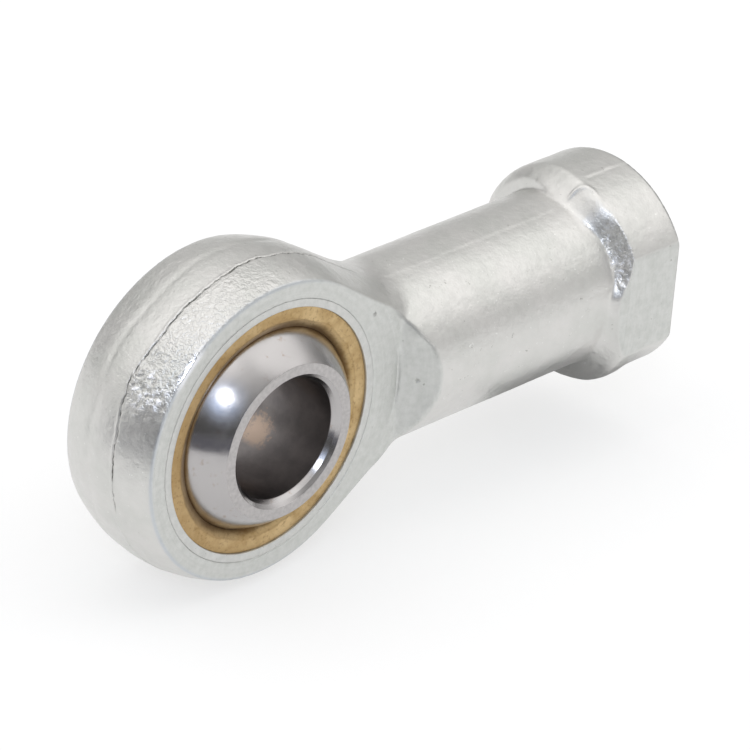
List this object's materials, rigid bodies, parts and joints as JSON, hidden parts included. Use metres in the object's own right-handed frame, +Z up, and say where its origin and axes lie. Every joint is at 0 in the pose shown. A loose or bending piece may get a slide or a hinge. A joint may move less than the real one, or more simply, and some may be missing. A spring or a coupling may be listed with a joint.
{
  "type": "rod end bearing",
  "caption": "Female rod end bearing: forged eye with a bronze-lined ball on a threaded shank that ends in a collar with wrench flats.",
  "frame": {"origin": "centre of the ball, where the bore axis meets the shank axis", "axes": "+X along the shank towards the threaded end, Y along the ball's bore with the machined faces square to it, +Z up"},
  "size_m": [0.066, 0.019, 0.032],
  "materials": {
    "zinc_plated_steel": "bright zinc plating over a forged skin, machined satin on the faces",
    "ring_steel": "turned and plated",
    "bronze": "pressed bronze, dull, slightly stained",
    "polished_steel": "hardened bearing steel, polished sphere, ground faces"
  },
  "bodies": {
    "housing": {"rod_end_housing": "zinc_plated_steel", "outer_ring": "ring_steel", "bronze_liner": "bronze"},
    "ball": {"inner_ball": "polished_steel"}
  },
  "joints": [
    {"name": "ball_tilt", "type": "hinge", "parent": "housing", "child": "ball", "pos_m": [0, 0, 0], "axis": [0, 0, 1], "range_deg": [-13, 13]}
  ]
}
